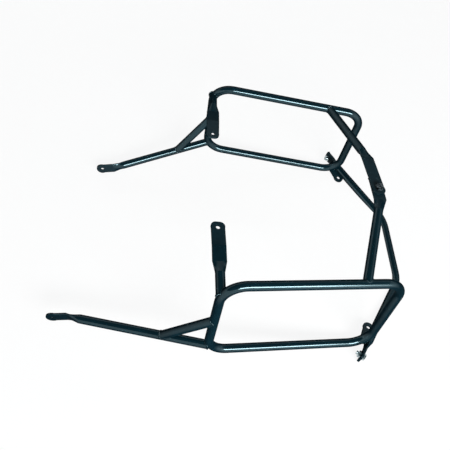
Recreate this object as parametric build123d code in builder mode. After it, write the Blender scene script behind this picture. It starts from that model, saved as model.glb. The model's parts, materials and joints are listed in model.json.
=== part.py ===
import os
from math import cos, pi, radians, sin

from build123d import *

os.makedirs("parts", exist_ok=True)

# Driving dimensions, millimetres and degrees

# tube stock, and the flat that its ends are pressed into
tube_d = 18.0
tube_wall = 2.0
press_t = 2 * tube_wall
press_w = pi * (tube_d - tube_wall) / 2 + tube_wall
press_run = 26.0
cope_start = 1.5

# bolts and the holes they pass through
bolt_d = 8.0
bolt_gap = 0.25
hole_d = bolt_d + 2 * bolt_gap
hex_flats = 13.0
head_h = 5.3
nut_h = 6.5
hex_edge = 0.6
washer_d = 16.0
washer_t = 1.6
washer_bore = bolt_d + 2 * bolt_gap
thread_out = 2.5
stub_thread_out = 4.5

# the row's origin is below the middle of the frame, in the design's own coordinates
origin_x = 70.34
origin_z = -79.48

# hoops on the tube's centre line, measured from the lower front corner: the top is raked forwards
hoop_front = 0.0
hoop_half = 276.3
hoop_long = 344.3
hoop_high = 210.8
hoop_rake = 10.1
hoop_bend = 42.0
hoop_toe = 6.5
hoop_lean = 6.0

# the sides are mirror images, and the lapped joint leaves the right one turned nose down
right_turn = -2.87

# front arms: the bolt holes share a height and a width, the reach differs by side
arm_up = 18.5
arm_hole_y = 209.0
arm_hole_z = -44.9
arm_reach_left = 299.0
arm_reach_right = 253.6
arm_tab = 27.4
arm_tab_drop = 13.1
brace_share = 0.325
brace_up = 104.0
round_tip = 12.5

# front stays, pointing inwards from the upper front bends
stay_down = 26.0
stay_turn = 1.8
stay_hole_y = 124.0
stay_rise = 9.4
stay_fold = 39.0
stay_neck = 42.0
stay_press = 22.0
stay_past = 12.0
stay_tip = 10.0
fold_r = 14.0

# upper rear stays, placed from the upper rear corner, lapped and bolted near the middle
upper_ahead = 79.2
left_fold_ahead = 29.7
left_fold_y = 48.0
right_fold_ahead = 32.0
right_fold_y = 56.3
lap_ahead = 30.1
lap_y = 23.5
lap_up = 30.4
upper_left_past = 32.0
upper_right_past = 15.0
square_tip = 4.0

# lower cross tube, a flat U squared to the line between the lower rear corners, runs past both hoops
cross_behind = 99.2
cross_z = 7.2
elbow_in = 148.51
cross_bend = 90.0
stub_ahead = 18.65
stub_out = 34.65
stub_flat = 13.6
stub_past = 10.7

# tabs in the lower rear corners, at one height and one distance behind on both sides
tab_t = 4.0
tab_slope = 10.0
tab_behind = 3.0
tab_in = 27.9
tab_up = 6.2
tab_tip = 12.0
tab_flare = 25.6
tab_heel = 12.0
tab_long = 27.0


def at(x, y, z):
    return Vector(x - origin_x, y, z - origin_z)


# left hoop's plane: local x runs rearwards along a rail, local y runs up, z faces outwards
toe = radians(hoop_toe)
lean = radians(hoop_lean)
hoop_plane = Plane(
    origin=at(hoop_front, -hoop_half, 0),
    x_dir=(cos(toe), sin(toe), 0),
    z_dir=(sin(toe) * cos(lean), -cos(toe) * cos(lean), sin(lean)),
)


def on_hoop(along, up):
    return hoop_plane.from_local_coords(Vector(along - hoop_rake * up / hoop_high, up, 0))


# the right side: a mirror image, turned about the middle of its hoop
hoop_mid = on_hoop(hoop_long / 2, hoop_high / 2)
turn_axis = Axis((hoop_mid.X, 0, hoop_mid.Z), (0, 1, 0))


def right_side(piece):
    return piece.mirror(Plane.XZ).rotate(turn_axis, right_turn)


def right_point(point):
    spoke = Vector(point.X, -point.Y, point.Z) - turn_axis.position
    return turn_axis.position + spoke.rotate(turn_axis, right_turn)


# a round tube whose far end is pressed flat, folded along its run and drilled at its rounded end
def pressed_tube(start, neck, flat_run, across, past, tip_r):
    axis = (neck - start).normalized()
    run = (flat_run[1] - flat_run[0]).normalized()
    last = (flat_run[-1] - flat_run[-2]).normalized()
    hole = flat_run[-1]
    square = (across - axis * across.dot(axis)).normalized()
    tip = hole + last * (past - tip_r)
    with BuildPart() as tube:
        with BuildSketch(Plane(origin=start, x_dir=square, z_dir=axis)):
            Circle(tube_d / 2)
        extrude(amount=(neck - start).length)
        with BuildSketch(Plane(origin=neck, x_dir=square, z_dir=axis)):
            Circle(tube_d / 2)
        with BuildSketch(Plane(origin=flat_run[0], x_dir=across, z_dir=run)):
            SlotOverall(press_w, press_t)
        loft()
        with BuildLine() as flat_path:
            if len(flat_run) > 2:
                FilletPolyline(*flat_run[:-1], tip, radius=fold_r)
            else:
                Line(flat_run[0], tip)
        with BuildSketch(Plane(origin=flat_run[0], x_dir=across, z_dir=run)):
            SlotOverall(press_w, press_t)
        sweep(path=flat_path.line)
        with BuildSketch(Plane(origin=tip, x_dir=across, z_dir=last.cross(across))):
            SlotOverall(press_w, 2 * tip_r)
        extrude(amount=press_t / 2, both=True)
        with BuildSketch(Plane(origin=hole, x_dir=across, z_dir=last.cross(across))):
            Circle(hole_d / 2)
        extrude(amount=press_t, both=True, mode=Mode.SUBTRACT)
    return tube.part


# hexagon body along its plane's normal, with the outer corners turned off
def hex_body(plane, height):
    with BuildPart() as body:
        with BuildSketch(plane):
            RegularPolygon(hex_flats / 2, 6, major_radius=False)
        extrude(amount=height)
        with BuildSketch(plane.offset(height)):
            Circle(hex_flats / 2 + hex_edge / 2)
        with BuildSketch(plane.offset(height - 2 * hex_edge)):
            Circle(hex_flats / 2 + 4 * hex_edge)
        with BuildSketch(plane):
            Circle(hex_flats / 2 + 4 * hex_edge)
        loft(ruled=True, mode=Mode.INTERSECT)
    return body.part


# Hoops: one tube bent round four corners

with BuildPart() as left_hoop:
    with BuildLine() as hoop_path:
        FilletPolyline(
            on_hoop(hoop_long, 0),
            on_hoop(hoop_long, hoop_high),
            on_hoop(0, hoop_high),
            on_hoop(0, 0),
            radius=hoop_bend,
            close=True,
        )
    with BuildSketch(Plane(origin=hoop_path.line @ 0, z_dir=hoop_path.line % 0)):
        Circle(tube_d / 2)
    sweep()

with BuildPart() as right_hoop:
    add(right_side(left_hoop.part))


# Front arms and their braces

arm_root = on_hoop(0, arm_up)
brace_root = on_hoop(0, brace_up)
arm_tab_run = Vector(-cos(radians(arm_tab_drop)), 0, -sin(radians(arm_tab_drop)))
arm_tab_up = Vector(-sin(radians(arm_tab_drop)), 0, cos(radians(arm_tab_drop)))


def front_arm(reach):
    hole = at(-reach, -arm_hole_y, arm_hole_z)
    bend = hole - arm_tab_run * arm_tab
    axis = (bend - arm_root).normalized()
    neck = bend - axis * press_run
    return pressed_tube(arm_root + axis * cope_start, neck, [bend, hole], arm_tab_up, press_w / 2, round_tip)


def front_brace(reach):
    bend = at(-reach, -arm_hole_y, arm_hole_z) - arm_tab_run * arm_tab
    foot = arm_root + (bend - arm_root) * brace_share
    axis = (brace_root - foot).normalized()
    with BuildPart() as brace:
        with BuildSketch(Plane(origin=foot + axis * cope_start, z_dir=axis)):
            Circle(tube_d / 2)
        extrude(amount=(brace_root - foot).length - 2 * cope_start)
        add(left_hoop.part, mode=Mode.SUBTRACT)
        add(front_arm(reach), mode=Mode.SUBTRACT)
    return brace.part


with BuildPart() as left_front_arm:
    add(front_arm(arm_reach_left))
    add(left_hoop.part, mode=Mode.SUBTRACT)

with BuildPart() as right_front_arm:
    add(right_side(front_arm(arm_reach_right)))
    add(right_hoop.part, mode=Mode.SUBTRACT)

with BuildPart() as left_front_brace:
    add(front_brace(arm_reach_left))

with BuildPart() as right_front_brace:
    add(right_side(front_brace(arm_reach_right)))


# Front stays: pressed tongues that point inwards

stay_root = on_hoop(0, hoop_high - stay_down)
stay_in = Vector(-sin(radians(stay_turn)), cos(radians(stay_turn)), 0)
stay_across = Vector(cos(radians(stay_turn)), sin(radians(stay_turn)), 0)
stay_run = (-stay_hole_y - stay_root.Y) / stay_in.Y
stay_hole = stay_root + stay_in * stay_run + Vector(0, 0, stay_rise)
stay_bend = stay_hole - stay_in * stay_fold
stay_axis = (stay_bend - stay_root).normalized()

with BuildPart() as left_front_stay:
    add(
        pressed_tube(
            stay_root + stay_axis * cope_start,
            stay_root + stay_axis * stay_neck,
            [stay_root + stay_axis * (stay_neck + stay_press), stay_bend, stay_hole],
            stay_across,
            stay_past,
            stay_tip,
        )
    )
    add(left_hoop.part, mode=Mode.SUBTRACT)

with BuildPart() as right_front_stay:
    add(right_side(left_front_stay.part))


# Upper rear stays: the right tongue lies on the left one

upright = Vector(0, 0, 1)
upper_root = on_hoop(hoop_long - upper_ahead, hoop_high)
left_corner = on_hoop(hoop_long, hoop_high)
right_corner = right_point(left_corner)
lap = Vector(left_corner.X - lap_ahead, -lap_y, left_corner.Z + lap_up)
left_fold = Vector(left_corner.X - left_fold_ahead, -left_fold_y, lap.Z)
right_fold = Vector(right_corner.X - right_fold_ahead, right_fold_y, lap.Z)


def upper_stay(root, fold, level, past, tip_r):
    bend = fold + level
    bolt = lap + level
    axis = (bend - root).normalized()
    across = (bolt - bend).normalized().cross(upright)
    return pressed_tube(root + axis * cope_start, bend - axis * press_run, [bend, bolt], across, past, tip_r)


with BuildPart() as left_upper_stay:
    add(upper_stay(upper_root, left_fold, upright * (-press_t / 2), upper_left_past, square_tip))
    add(left_hoop.part, mode=Mode.SUBTRACT)

with BuildPart() as right_upper_stay:
    add(upper_stay(right_point(upper_root), right_fold, upright * (press_t / 2), upper_right_past, round_tip))
    add(right_hoop.part, mode=Mode.SUBTRACT)


# Lower cross tube: one bent tube, both ends pressed upright past the hoops

rear_corner = on_hoop(hoop_long, 0)
rear_line = right_point(rear_corner) - rear_corner
cross_side = rear_line.normalized()
cross_back = cross_side.cross(upright).normalized()
cross_up = cross_back.cross(cross_side)
cross_plane = Plane(
    origin=rear_corner + rear_line / 2 + cross_back * cross_behind + cross_up * cross_z,
    x_dir=cross_back,
    z_dir=cross_up,
)
cross_middle = Plane(origin=cross_plane.origin, x_dir=cross_back, z_dir=cross_side)
leg_long = cross_behind + stub_ahead
corner_half = rear_line.length / 2
stub_half = corner_half + stub_out
elbow_half = corner_half - elbow_in


def on_cross(back, out):
    return cross_plane.from_local_coords(Vector(back, out, 0))


left_stub = on_cross(-leg_long, -stub_half)
right_stub = on_cross(-leg_long, stub_half)
left_elbow = on_cross(0, -elbow_half)
right_elbow = on_cross(0, elbow_half)
left_leg = (left_stub - left_elbow).normalized()
right_leg = (right_stub - right_elbow).normalized()
left_flat = left_stub - left_leg * stub_flat
right_flat = right_stub - right_leg * stub_flat
stub_run = stub_past - square_tip

with BuildPart() as lower_cross_tube:
    with BuildLine() as cross_path:
        FilletPolyline(
            left_flat - left_leg * press_run,
            left_elbow,
            right_elbow,
            right_flat - right_leg * press_run,
            radius=cross_bend,
        )
    with BuildSketch(Plane(origin=cross_path.line @ 0, x_dir=cross_up, z_dir=cross_path.line % 0)):
        Circle(tube_d / 2)
    sweep(path=cross_path.line)
    for leg, flat, stub in ((left_leg, left_flat, left_stub), (right_leg, right_flat, right_stub)):
        with BuildSketch(Plane(origin=flat - leg * press_run, x_dir=cross_up, z_dir=leg)):
            Circle(tube_d / 2)
        with BuildSketch(Plane(origin=flat, x_dir=cross_up, z_dir=leg)):
            SlotOverall(press_w, press_t)
        loft()
        with BuildSketch(Plane(origin=flat, x_dir=cross_up, z_dir=leg)):
            SlotOverall(press_w, press_t)
        extrude(amount=stub_flat + stub_run)
        tip = stub + leg * stub_run
        with BuildSketch(Plane(origin=tip, x_dir=cross_up, z_dir=leg.cross(cross_up))):
            SlotOverall(press_w, 2 * square_tip)
        extrude(amount=press_t / 2, both=True)
        with BuildSketch(Plane(origin=stub, x_dir=leg, z_dir=leg.cross(cross_up))):
            Circle(hole_d / 2)
        extrude(amount=press_t, both=True, mode=Mode.SUBTRACT)
    add(left_hoop.part, mode=Mode.SUBTRACT)
    add(right_hoop.part, mode=Mode.SUBTRACT)


# Corner tabs: tapered plates in the lower rear corners, sloping down and inwards

slope = radians(tab_slope)
tab_level = rear_corner + rear_line / 2
tab_hole = Vector(tab_level.X + tab_behind, rear_corner.Y + tab_in, tab_level.Z + tab_up)
tab_plane = Plane(origin=tab_hole, x_dir=(1, 0, 0), z_dir=(0, sin(slope), cos(slope)))


def corner_tab():
    with BuildPart() as tab:
        with BuildSketch(tab_plane):
            with BuildLine():
                Polyline(
                    (-tab_flare, -tab_long),
                    (-tab_heel, -tab_long),
                    (tab_tip, 0),
                    (-tab_tip, 0),
                    close=True,
                )
            make_face()
            Circle(tab_tip)
            Circle(hole_d / 2, mode=Mode.SUBTRACT)
        extrude(amount=tab_t / 2, both=True)
    return tab.part


with BuildPart() as left_corner_tab:
    add(corner_tab())
    add(left_hoop.part, mode=Mode.SUBTRACT)
    add(lower_cross_tube.part, mode=Mode.SUBTRACT)

with BuildPart() as right_corner_tab:
    add(corner_tab().mirror(Plane.XZ))
    add(right_hoop.part, mode=Mode.SUBTRACT)
    add(lower_cross_tube.part, mode=Mode.SUBTRACT)


# Bolt, nut and washers of the lapped joint

lap_top = Plane(origin=lap + upright * (press_t + washer_t), x_dir=(1, 0, 0), z_dir=upright)
lap_under = Plane(origin=lap - upright * (press_t + washer_t), x_dir=(1, 0, 0), z_dir=-upright)

with BuildPart() as centre_bolt:
    add(hex_body(lap_top, head_h))
    with BuildSketch(lap_top):
        Circle(bolt_d / 2)
    extrude(amount=-(2 * press_t + 2 * washer_t + nut_h + thread_out))

with BuildPart() as centre_nut:
    add(hex_body(lap_under, nut_h))
    with BuildSketch(lap_under):
        Circle(bolt_d / 2)
    extrude(amount=nut_h, mode=Mode.SUBTRACT)

with BuildPart() as centre_washers:
    with BuildSketch(lap_top, lap_under):
        Circle(washer_d / 2)
        Circle(washer_bore / 2, mode=Mode.SUBTRACT)
    extrude(amount=-washer_t)


# Bolts and nuts in the stubs of the cross tube, heads to the rear

stub_face = left_leg.cross(cross_up)
stub_back = stub_face if stub_face.X > 0 else stub_face * -1
stub_head = Plane(origin=left_stub + stub_back * (press_t / 2), x_dir=cross_up, z_dir=stub_back)
stub_nut = Plane(origin=left_stub - stub_back * (press_t / 2), x_dir=cross_up, z_dir=stub_back * -1)

with BuildPart() as left_stub_bolt:
    add(hex_body(stub_head, head_h))
    with BuildSketch(stub_head):
        Circle(bolt_d / 2)
    extrude(amount=-(press_t + nut_h + stub_thread_out))

with BuildPart() as left_stub_nut:
    add(hex_body(stub_nut, nut_h))
    with BuildSketch(stub_nut):
        Circle(bolt_d / 2)
    extrude(amount=nut_h, mode=Mode.SUBTRACT)

with BuildPart() as right_stub_bolt:
    add(left_stub_bolt.part)
    mirror(about=cross_middle, mode=Mode.REPLACE)

with BuildPart() as right_stub_nut:
    add(left_stub_nut.part)
    mirror(about=cross_middle, mode=Mode.REPLACE)


# One named file for each piece

left_hoop.part.label = "left_hoop"
right_hoop.part.label = "right_hoop"
left_front_arm.part.label = "left_front_arm"
right_front_arm.part.label = "right_front_arm"
left_front_brace.part.label = "left_front_brace"
right_front_brace.part.label = "right_front_brace"
left_front_stay.part.label = "left_front_stay"
right_front_stay.part.label = "right_front_stay"
left_upper_stay.part.label = "left_upper_stay"
right_upper_stay.part.label = "right_upper_stay"
lower_cross_tube.part.label = "lower_cross_tube"
left_corner_tab.part.label = "left_corner_tab"
right_corner_tab.part.label = "right_corner_tab"
centre_bolt.part.label = "centre_bolt"
centre_nut.part.label = "centre_nut"
centre_washers.part.label = "centre_washers"
left_stub_bolt.part.label = "left_stub_bolt"
left_stub_nut.part.label = "left_stub_nut"
right_stub_bolt.part.label = "right_stub_bolt"
right_stub_nut.part.label = "right_stub_nut"

for piece in (
    left_hoop,
    right_hoop,
    left_front_arm,
    right_front_arm,
    left_front_brace,
    right_front_brace,
    left_front_stay,
    right_front_stay,
    left_upper_stay,
    right_upper_stay,
    lower_cross_tube,
    left_corner_tab,
    right_corner_tab,
    centre_bolt,
    centre_nut,
    centre_washers,
    left_stub_bolt,
    left_stub_nut,
    right_stub_bolt,
    right_stub_nut,
):
    export_step(piece.part, f"parts/{piece.part.label}.step")
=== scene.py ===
import json

import bmesh
import bpy
import numpy as np
from mathutils import Matrix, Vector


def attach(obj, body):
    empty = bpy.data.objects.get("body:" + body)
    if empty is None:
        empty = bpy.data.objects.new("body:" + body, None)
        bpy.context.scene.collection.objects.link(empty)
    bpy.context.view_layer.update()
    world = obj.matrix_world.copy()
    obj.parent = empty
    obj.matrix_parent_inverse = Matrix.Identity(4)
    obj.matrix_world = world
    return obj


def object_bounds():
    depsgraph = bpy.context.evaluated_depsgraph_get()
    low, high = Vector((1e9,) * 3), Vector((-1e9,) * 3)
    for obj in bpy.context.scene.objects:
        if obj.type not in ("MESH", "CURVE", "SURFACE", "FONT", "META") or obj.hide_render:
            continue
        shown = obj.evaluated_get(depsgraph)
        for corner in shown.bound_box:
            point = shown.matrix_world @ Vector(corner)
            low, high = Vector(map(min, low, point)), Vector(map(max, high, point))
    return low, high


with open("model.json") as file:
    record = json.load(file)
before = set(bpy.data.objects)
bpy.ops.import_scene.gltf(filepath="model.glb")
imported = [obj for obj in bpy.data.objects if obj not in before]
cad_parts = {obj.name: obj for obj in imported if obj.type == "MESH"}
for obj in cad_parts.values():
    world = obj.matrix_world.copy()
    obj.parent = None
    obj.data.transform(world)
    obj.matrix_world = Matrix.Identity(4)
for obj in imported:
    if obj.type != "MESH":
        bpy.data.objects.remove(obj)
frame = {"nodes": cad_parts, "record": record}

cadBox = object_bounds()
nodes = frame["nodes"]
scene = bpy.context.scene
upright = np.array([0.0, 0.0, 1.0])
mmPerMetre = 1000
print("frame loaded:", len(nodes), "nodes")


# small helpers

def hexToLinear(code):
    # sRGB hex to the linear colour that the shader wants
    s = np.array([int(code[i:i + 2], 16) for i in (1, 3, 5)]) / 255
    lin = np.where(s <= 0.04045, s / 12.92, ((s + 0.055) / 1.055) ** 2.4)
    return (*lin.tolist(), 1.0)


def addNode(tree, kind, links=None, **settings):
    # one node: attributes by name, inputs by "in_" and their name, links as input and source
    node = tree.nodes.new(kind)
    for key, value in settings.items():
        if key.startswith("in_"):
            node.inputs[key[3:].replace("_", " ")].default_value = value
        else:
            setattr(node, key, value)
    for name, socket in (links or {}).items():
        tree.links.new(socket, node.inputs[name])
    return node


def newMaterial(name):
    mat = bpy.data.materials.new(name)
    mat.use_nodes = True
    mat.node_tree.nodes.clear()
    return mat, mat.node_tree


def unit(v):
    v = np.asarray(v, float)
    return v / np.linalg.norm(v, axis=-1, keepdims=True)


def fullTurn(steps):
    return np.linspace(0, 2 * np.pi, steps, endpoint=False)


samePoint = 1e-7                        # metres


def gridMesh(name, points, closeU):
    # points[u, v] is the surface; neighbours share a quad, v wraps round, and u too where closed
    nu, nv = points.shape[:2]
    a, b = np.meshgrid(np.arange(nu if closeU else nu - 1), np.arange(nv), indexing="ij")
    a2, b2 = (a + 1) % nu, (b + 1) % nv
    faces = np.stack([a * nv + b, a * nv + b2, a2 * nv + b2, a2 * nv + b], -1).reshape(-1, 4)
    mesh = bpy.data.meshes.new(name)
    mesh.from_pydata(points.reshape(-1, 3).tolist(), [], faces.tolist())
    # a ring without width becomes one pole
    shell = bmesh.new()
    shell.from_mesh(mesh)
    bmesh.ops.remove_doubles(shell, verts=shell.verts, dist=samePoint)
    shell.to_mesh(mesh)
    shell.free()
    mesh.polygons.foreach_set("use_smooth", np.ones(len(mesh.polygons), bool))
    mesh.update()
    piece = bpy.data.objects.new(name, mesh)
    scene.collection.objects.link(piece)
    return piece


def addPiece(name, points, closeU, slotName):
    piece = gridMesh(name, points, closeU)
    piece.data.materials.append(finishes[slotName])
    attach(piece, "root")


def addSkin(name, look):
    # a surface whose colour drifts in patches between two tones
    mat, tree = newMaterial(name)
    place = addNode(tree, "ShaderNodeTexCoord").outputs["Object"]
    cloud = addNode(tree, "ShaderNodeTexNoise", {"Vector": place},
                    in_Scale=mmPerMetre / look["cloudMm"], in_Detail=look["cloudDetail"])
    tone = addNode(tree, "ShaderNodeValToRGB", {"Fac": cloud.outputs["Fac"]})
    for stop, code, spot in zip(tone.color_ramp.elements, look["tones"], look["toneSpots"]):
        stop.color, stop.position = hexToLinear(code), spot
    shader = addNode(tree, "ShaderNodeBsdfPrincipled", {"Base Color": tone.outputs["Color"]},
                     in_Metallic=look["metallic"], in_Roughness=look["roughness"])
    addNode(tree, "ShaderNodeOutputMaterial", {"Surface": shader.outputs[0]})
    return mat, tree, shader, place


def addRelief(tree, shader, place, relief):
    # fine bumps on a skin, as wide as a real dimple or mark
    grain = addNode(tree, "ShaderNodeTexNoise", {"Vector": place},
                    in_Scale=mmPerMetre / relief["wideMm"], in_Detail=relief["detail"])
    bump = addNode(tree, "ShaderNodeBump", {"Height": grain.outputs["Fac"]},
                   in_Strength=relief["strength"], in_Distance=relief["height"])
    tree.links.new(bump.outputs["Normal"], shader.inputs["Normal"])


# stoved gloss black paint on steel tube: a dark blue-green black, a hard skin, slight orange peel

paint = dict(
    tones=("#021219", "#031a22"),       # thick coat, and a little greener where it ran thin
    toneSpots=(0.35, 0.7),
    cloudMm=60.0,                       # patches of thicker and thinner paint
    cloudDetail=3.0,
    metallic=0.0,
    shine="#caf2fc",                    # the skin throws light back a little bluer than it came
    shineLevel=0.76,
    softShine=0.05,                     # the gloss dies away towards the edges
    roughness=0.13,
    softRoughness=1.0,
    softFrom=0.12,
    softTo=0.45,
    facingBlend=0.5,
    peel=dict(wideMm=2.2, detail=1.0, strength=0.05, height=0.00002),
)


def blackPaint():
    mat, tree, shader, place = addSkin("stoved_gloss_black_paint", paint)
    addRelief(tree, shader, place, paint["peel"])
    facing = addNode(tree, "ShaderNodeLayerWeight", in_Blend=paint["facingBlend"])
    for socket, middle, edge in (("Roughness", "roughness", "softRoughness"),
                                 ("Specular IOR Level", "shineLevel", "softShine")):
        fade = addNode(tree, "ShaderNodeMapRange", {"Value": facing.outputs["Facing"]},
                       in_From_Min=paint["softFrom"], in_From_Max=paint["softTo"],
                       in_To_Min=paint[middle], in_To_Max=paint[edge])
        tree.links.new(fade.outputs["Result"], shader.inputs[socket])
    shader.inputs["Specular Tint"].default_value = hexToLinear(paint["shine"])
    return mat


# bright zinc plate: pale blue-grey metal with fine turning marks

zinc = dict(
    tones=("#6f7d81", "#cfdcde"), toneSpots=(0.35, 0.65), cloudMm=5.0, cloudDetail=4.0,
    metallic=1.0, roughness=0.20,
    marks=dict(wideMm=0.8, detail=2.0, strength=0.2, height=0.00005),
)


def zincPlate():
    mat, tree, shader, place = addSkin("bright_zinc_plate", zinc)
    addRelief(tree, shader, place, zinc["marks"])
    return mat


# blackened steel of the lap joint's bolt: dark, with patches rubbed a little brighter

dark = dict(
    tones=("#363f44", "#a3afb4"), toneSpots=(0.45, 0.75), cloudMm=4.0, cloudDetail=4.0,
    metallic=1.0, roughness=0.30,
)


def darkSteel():
    return addSkin("blackened_steel", dark)[0]


finishes = dict(black_paint=blackPaint(), zinc_plate=zincPlate(), dark_steel=darkSteel())
for part in frame["record"]["subparts"]:
    node = nodes[part["node"]]
    node.data.materials.clear()
    node.data.materials.append(finishes[part["material_slot"]])
print("finishes on:", len(finishes), "materials")


# where the tubes run, metres and degrees, from the same sizes as the solids

tubeRadius = 0.009
hoop = dict(start=(-0.07034, -0.2763, 0.07948), long=0.3443, high=0.2108, rake=0.0101,
            bend=0.042, bendSteps=40, toe=6.5, lean=6.0, rightTurn=-2.87)
arm = dict(up=0.0185, tab=0.0274, tabDrop=13.1, braceShare=0.325, braceUp=0.104)
stay = dict(down=0.026, turn=1.8, fold=0.039)
upper = dict(ahead=0.0792, lapAhead=0.0301, lapSide=0.0235, lapUp=0.0304, flat=0.004,
             foldAhead=dict(left=0.0297, right=0.0320),
             foldSide=dict(left=-0.0480, right=0.0563))
cross = dict(behind=0.0992, up=0.0072, elbowIn=0.14851, stubAhead=0.01865, stubOut=0.03465)
holes = {m["name"]: np.array(m["pos_m"]) for m in frame["record"]["mounts"]}


def onHoop(along, up):
    # left hoop's plane: along a rail and up from the lower one, sheared by the rake
    toe, lean = np.radians((hoop["toe"], hoop["lean"]))
    rail = np.array([np.cos(toe), np.sin(toe), 0])
    out = np.array([np.sin(toe) * np.cos(lean), -np.cos(toe) * np.cos(lean), np.sin(lean)])
    run = along - hoop["rake"] * up / hoop["high"]
    return np.array(hoop["start"]) + run * rail + up * np.cross(out, rail)


def onLeft(point):
    return np.asarray(point, float)


def onRight(point):
    # mirror image, turned about the middle of the hoop
    mid = onHoop(hoop["long"] / 2, hoop["high"] / 2) * (1, 0, 1)
    x, y, z = np.asarray(point) * (1, -1, 1) - mid
    turn = np.radians(hoop["rightTurn"])
    c, s = np.cos(turn), np.sin(turn)
    return mid + np.array([c * x + s * z, y, c * z - s * x])


def hoopLine(corners):
    # each corner is an arc that touches both rails; the rails between are straight
    c, bend = np.array(corners), hoop["bend"]
    back, ahead = unit(np.roll(c, 1, 0) - c), unit(np.roll(c, -1, 0) - c)
    half = 0.5 * np.arccos(np.clip((back * ahead).sum(1), -1, 1))
    middle = c + unit(back + ahead) * (bend / np.sin(half))[:, None]
    toFirst = c + back * (bend / np.tan(half))[:, None] - middle
    toLast = c + ahead * (bend / np.tan(half))[:, None] - middle
    x = unit(toFirst)
    y = unit(toLast - (toLast * x).sum(1)[:, None] * x)
    t = np.linspace(0, 1, hoop["bendSteps"])[None, :, None] * (np.pi - 2 * half)[:, None, None]
    arcs = middle[:, None] + bend * (np.cos(t) * x[:, None] + np.sin(t) * y[:, None])
    return np.vstack([arcs.reshape(-1, 3), arcs[0, :1]])


def nearestOnLine(points, line):
    # nearest place to each point on a run of straight pieces
    a, d = line[:-1], np.diff(line, axis=0)
    rel = points[..., None, :] - a
    t = np.clip((rel * d).sum(-1) / (d * d).sum(-1), 0, 1)
    foot = a + t[..., None] * d
    best = np.linalg.norm(points[..., None, :] - foot, axis=-1).argmin(-1)
    return np.take_along_axis(foot, best[..., None, None], -2)[..., 0, :]


sides = dict(left=onLeft, right=onRight)
frontFoot, frontTop = onHoop(0, 0), onHoop(0, hoop["high"])
rearFoot, rearTop = onHoop(hoop["long"], 0), onHoop(hoop["long"], hoop["high"])
lapPoint = rearTop * (1, 0, 1) + (-upper["lapAhead"], -upper["lapSide"], upper["lapUp"])


def tubeLines(name, side):
    # each welded tube: where it starts on its host's axis, and a point further along it
    drop, turn = np.radians((arm["tabDrop"], stay["turn"]))
    tabRun = side(frontFoot + (-np.cos(drop), 0, -np.sin(drop))) - side(frontFoot)
    inwards = side(frontFoot + (-np.sin(turn), np.cos(turn), 0)) - side(frontFoot)
    armRoot, braceRoot = side(onHoop(0, arm["up"])), side(onHoop(0, arm["braceUp"]))
    armBend = holes[name + "_arm_hole"] - arm["tab"] * tabRun
    braceFoot = armRoot + (armBend - armRoot) * arm["braceShare"]
    stayRoot = side(onHoop(0, hoop["high"] - stay["down"]))
    stayFold = holes[name + "_stay_hole"] - stay["fold"] * inwards
    upperRoot = side(onHoop(hoop["long"] - upper["ahead"], hoop["high"]))
    level = lapPoint[2] + upper["flat"] / 2 * (1 if name == "right" else -1)
    foldAhead = side(rearTop)[0] - upper["foldAhead"][name]
    upperFold = np.array([foldAhead, upper["foldSide"][name], level])
    return {
        name + "_front_arm": np.array([armRoot, armBend]),
        name + "_front_brace": np.array([braceRoot, braceFoot]),
        name + "_front_stay": np.array([stayRoot, stayFold]),
        name + "_upper_stay": np.array([upperRoot, upperFold]),
    }


def crossLines():
    # the flat U lies square to the line between the lower rear corners
    line = onRight(rearFoot) - rearFoot
    sideways = unit(line)
    back = unit(np.cross(sideways, upright))
    up = np.cross(back, sideways)
    middle = rearFoot + line / 2 + back * cross["behind"] + up * cross["up"]
    stubBack = back * (cross["behind"] + cross["stubAhead"])
    half = np.linalg.norm(line) / 2
    stubSide = sideways * (half + cross["stubOut"])
    elbowSide = sideways * (half - cross["elbowIn"])
    return {name: np.array([middle - stubBack + sign * stubSide, middle + sign * elbowSide])
            for name, sign in (("left", -1), ("right", 1))}, up


corners = [frontFoot, rearFoot, rearTop, frontTop]
hoopLines = {name: hoopLine([side(c) for c in corners]) for name, side in sides.items()}
tubes = {name: tubeLines(name, side) for name, side in sides.items()}
legs, legUp = crossLines()


# weld beads: a round bead carried along each seam, with the ripples that the torch leaves

weld = dict(
    radius=0.0015,
    ripple=0.00028,
    rippleMm=2.0,                       # from one ripple to the next
    rippleCurve=1.1,                    # ripples curve like stacked coins
    sink=0.0007,
    around=14,
    along=240,
    reachAlong=0.045,                   # how far a seam can lie from the middle of its joint
    reachOver=0.020,
    halvings=30,
    searchSteps=600,
    hint=(0.3, 0.2, 0.9),               # a direction that no tube runs in
)


def walkOut(place, host, reach):
    # halves the way again and again until each point stands just where it leaves the host tube
    inside, outside = np.zeros(weld["along"]), np.full(weld["along"], reach)
    for _ in range(weld["halvings"]):
        way = (inside + outside) / 2
        points = place(way[:, None])
        out = np.linalg.norm(points - nearestOnLine(points, host), axis=1) > tubeRadius
        inside, outside = np.where(out, inside, way), np.where(out, way, outside)
    return place(outside[:, None])


def seamRound(start, onward, host):
    # tube against host: each line along the tube's skin slides out until it is clear of the host
    axis = unit(onward - start)
    side = unit(np.cross(axis, weld["hint"]))
    turn = fullTurn(weld["along"])[:, None]
    spoke = np.cos(turn) * side + np.sin(turn) * np.cross(axis, side)

    def place(way):
        return start + spoke * tubeRadius + axis * way

    return walkOut(place, host, weld["reachAlong"]), spoke + axis


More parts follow.
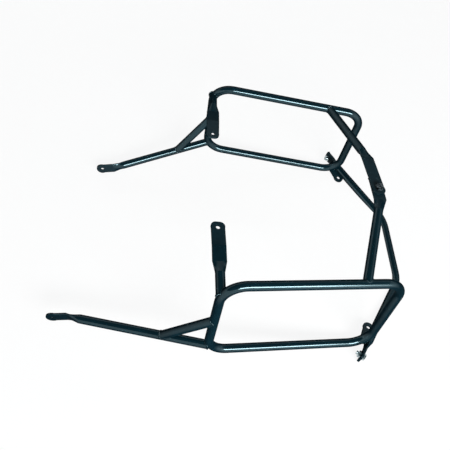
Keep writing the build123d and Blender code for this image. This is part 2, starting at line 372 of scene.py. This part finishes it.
def seamCrossing(start, onward, host):
    # tube across host: from where they press hardest, walks over the tube's skin until it is clear
    axis = unit(onward - start)
    run = start + np.linspace(0, 1, weld["searchSteps"])[:, None] * (onward - start)
    toHost = nearestOnLine(run, host) - run
    best = np.linalg.norm(toHost, axis=1).argmin()
    toward = unit(toHost[best])
    beside = np.cross(axis, toward)
    turn = fullTurn(weld["along"])[:, None]

    def place(way):
        lean = way * np.sin(turn) / tubeRadius
        spoke = np.cos(lean) * toward + np.sin(lean) * beside
        return run[best] + axis * way * np.cos(turn) + tubeRadius * spoke

    path = walkOut(place, host, weld["reachOver"])
    offTube = path - nearestOnLine(path, np.array([start, onward]))
    offHost = path - nearestOnLine(path, host)
    return path, unit(offTube) + unit(offHost)


def bead(name, path, lift):
    # a circle swept along the closed path; its radius swells with every ripple of the torch
    ahead = unit(np.roll(path, -1, 0) - np.roll(path, 1, 0))
    out = unit(lift - (lift * ahead).sum(1)[:, None] * ahead)
    across = np.cross(ahead, out)
    step = np.linalg.norm(np.roll(path, -1, 0) - path, axis=1)
    run = np.concatenate([[0], np.cumsum(step)[:-1]])
    waves = round(step.sum() * mmPerMetre / weld["rippleMm"])
    phase = 2 * np.pi * waves * run / step.sum()
    turn = fullTurn(weld["around"])[None, :]
    radius = weld["radius"] + weld["ripple"] * np.sin(
        phase[:, None] + weld["rippleCurve"] * np.cos(turn))
    spoke = np.cos(turn)[..., None] * out[:, None] + np.sin(turn)[..., None] * across[:, None]
    heart = path - out * weld["sink"]
    points = heart[:, None] + radius[..., None] * spoke
    # ground flush with the outside of the frame
    addPiece(name, np.clip(points, *cadBox), True, "black_paint")


def weldBeads():
    count = 0
    for side in sides:
        seams = {name: seamRound(*line, hoopLines[side]) for name, line in tubes[side].items()}
        brace = tubes[side][side + "_front_brace"]
        seams[side + "_brace_foot"] = seamRound(*brace[::-1], tubes[side][side + "_front_arm"])
        seams[side + "_cross_leg"] = seamCrossing(*legs[side], hoopLines[side])
        for name, seam in seams.items():
            bead(name + "_weld", *seam)
        count += len(seams)
    print("weld beads:", count)


weldBeads()


# bolt threads: a sleeve whose radius rises and falls along a helix, closed on the bolt's end

threadShape = dict(
    pitch=0.00125, root=0.0039, crest=0.00034, around=40, along=70,
    taper=0.0009,                       # the crest dies away before the bolt's end
    dome=0.0001,                        # height of the low dome at the bolt's end
    mouth=0.25,                         # width of the dome's ring, as a share of the sleeve's
    hint=(0.1, 0.2, 0.97),              # a direction that no bolt points in
)
# starts and ends are measured from the middle of the flat
stubThread = dict(start=0.0086, end=0.0129, slot="zinc_plate")
centreThread = dict(start=0.0122, end=0.0145, slot="dark_steel")


def boltThread(name, middle, along, start, end, slot):
    side = unit(np.cross(along, threadShape["hint"]))
    turn = fullTurn(threadShape["around"])
    run = np.linspace(start, end, threadShape["along"])
    wave = (run[:, None] / threadShape["pitch"] - turn[None, :] / (2 * np.pi)) % 1
    crest = 1 - np.abs(2 * wave - 1)
    ending = np.clip((end - run) / threadShape["taper"], 0, 1)[:, None]
    radius = threadShape["root"] + threadShape["crest"] * crest * ending
    spoke = np.cos(turn)[:, None] * side + np.sin(turn)[:, None] * np.cross(along, side)
    sleeve = middle + run[:, None, None] * along + radius[..., None] * spoke[None]
    foot = np.repeat((middle + start * along)[None, None], len(turn), 1)
    cap = np.repeat((middle + (end + threadShape["dome"]) * along)[None, None], len(turn), 1)
    mouth = sleeve[-1:] * threadShape["mouth"] + cap * (1 - threadShape["mouth"])
    addPiece(name, np.concatenate([foot, sleeve, mouth, cap]), False, slot)


for name, leg in legs.items():
    ahead = unit(np.cross(leg[0] - leg[1], legUp))
    boltThread(name + "_stub_thread", leg[0], ahead * -np.sign(ahead[0]), **stubThread)
boltThread("centre_thread", lapPoint, -upright, **centreThread)
print("bolt threads:", len(legs) + 1)


# white sweep: the floor lies under the tip of the right arm and the two rear stubs, and curls up

sweep = dict(
    feet=[(-0.3183, 0.2090, 0.0), (0.2470, -0.2810, 0.0724), (0.2527, 0.2810, 0.0828)],
    drop=0.001, inner=1.0, flat=2.6, curl=1.5, rise=2.6, around=96, curlSteps=20,
    colour="#f4f5f5", glowColour="#ffffff", glow=0.90,
)


def whitePaper():
    # matt white paper; to the eye and in reflections most of it is an even glow
    mat, tree = newMaterial("white_paper")
    paper = addNode(tree, "ShaderNodeBsdfDiffuse", in_Color=hexToLinear(sweep["colour"]))
    glow = addNode(tree, "ShaderNodeEmission", in_Color=hexToLinear(sweep["glowColour"]))
    ray = addNode(tree, "ShaderNodeLightPath").outputs
    seen = addNode(tree, "ShaderNodeMath", {0: ray["Is Camera Ray"], 1: ray["Is Glossy Ray"]},
                   operation="MAXIMUM")
    share = addNode(tree, "ShaderNodeMath", {0: seen.outputs[0]}, operation="MULTIPLY")
    share.inputs[1].default_value = sweep["glow"]
    mix = addNode(tree, "ShaderNodeMixShader",
                  {0: share.outputs[0], 1: paper.outputs[0], 2: glow.outputs[0]})
    addNode(tree, "ShaderNodeOutputMaterial", {"Surface": mix.outputs[0]})
    return mat


def whiteSweep():
    # rings grow from a pole; past the flat they follow a quarter circle, then go straight up
    a, b, c = np.array(sweep["feet"])
    up = unit(np.cross(b - a, c - a))
    east = unit(np.cross((0, 1, 0), up))
    north = np.cross(up, east)
    turn = fullTurn(sweep["around"])[:, None]
    bend = np.linspace(0, np.pi / 2, sweep["curlSteps"])
    wall = sweep["flat"] + sweep["curl"]
    curlOut = sweep["flat"] + sweep["curl"] * np.sin(bend)
    out = np.concatenate([[0, sweep["inner"]], curlOut, [wall]])
    high = np.concatenate([[0, 0], sweep["curl"] * (1 - np.cos(bend)), [sweep["rise"]]])
    spoke = np.cos(turn) * east - np.sin(turn) * north
    points = a - up * sweep["drop"] + out[:, None, None] * spoke + high[:, None, None] * up
    floor = gridMesh("white_sweep", points, False)
    floor.data.materials.append(whitePaper())


whiteSweep()
print("sweep laid")


# lamps: a wide box in front draws the lines on the rails, a weak one behind lifts the far sides

lamps = dict(
    frontBox=dict(place=(0.65, -2.15, 1.50), aim=(0.05, 0.0, 0.20), size=(1.9, 0.7),
                  power=116.0, tint="#ffffff"),
    backBox=dict(place=(-0.9, 2.40, 0.85), aim=(0.0, 0.0, 0.20), size=(1.6, 0.45),
                 power=14.0, tint="#f3faff"),
)
room = dict(colour="#7f9ea6", strength=0.32)


def setUp(name, data, right, up, back, place):
    # lamp or camera, by the directions of its three axes and its place
    thing = bpy.data.objects.new(name, data)
    scene.collection.objects.link(thing)
    m = np.eye(4)
    m[:3] = np.column_stack([right, up, back, place])
    thing.matrix_world = Matrix(m.tolist())
    return thing


def lightRoom():
    for name, s in lamps.items():
        data = bpy.data.lights.new(name, "AREA")
        data.shape = "RECTANGLE"
        data.size, data.size_y = s["size"]
        data.energy = s["power"]
        data.color = hexToLinear(s["tint"])[:3]
        back = unit(np.array(s["place"]) - np.array(s["aim"]))
        right = unit(np.cross(upright, back))
        setUp(name, data, right, np.cross(back, right), back, s["place"])
    world = bpy.data.worlds.new("studio")
    scene.world = world
    world.use_nodes = True
    sky = world.node_tree.nodes["Background"]
    sky.inputs["Color"].default_value = hexToLinear(room["colour"])
    sky.inputs["Strength"].default_value = room["strength"]


lightRoom()


# camera: looks down over the left side, tipped as the photograph is

view = dict(place=(-0.26187, -0.69388, 1.04646), pitch=51.86, yaw=18.19, roll=-20.68,
            focalPx=537.5, imagePx=450, sensorMm=36.0)


def photoCamera():
    pitch, yaw, roll = np.radians([view["pitch"], view["yaw"], view["roll"]])
    ahead = np.array([np.sin(yaw) * np.cos(pitch), np.cos(yaw) * np.cos(pitch), -np.sin(pitch)])
    level = unit(np.cross(ahead, upright))
    down = np.cross(ahead, level)
    right = np.cos(roll) * level + np.sin(roll) * down
    below = -np.sin(roll) * level + np.cos(roll) * down
    data = bpy.data.cameras.new("photo_camera")
    data.sensor_fit = "HORIZONTAL"
    data.sensor_width = view["sensorMm"]
    data.lens = view["focalPx"] / view["imagePx"] * view["sensorMm"]
    scene.camera = setUp("photo_camera", data, right, -below, -ahead, view["place"])


photoCamera()
scene.view_settings.view_transform = "Standard"
print("camera and light set")
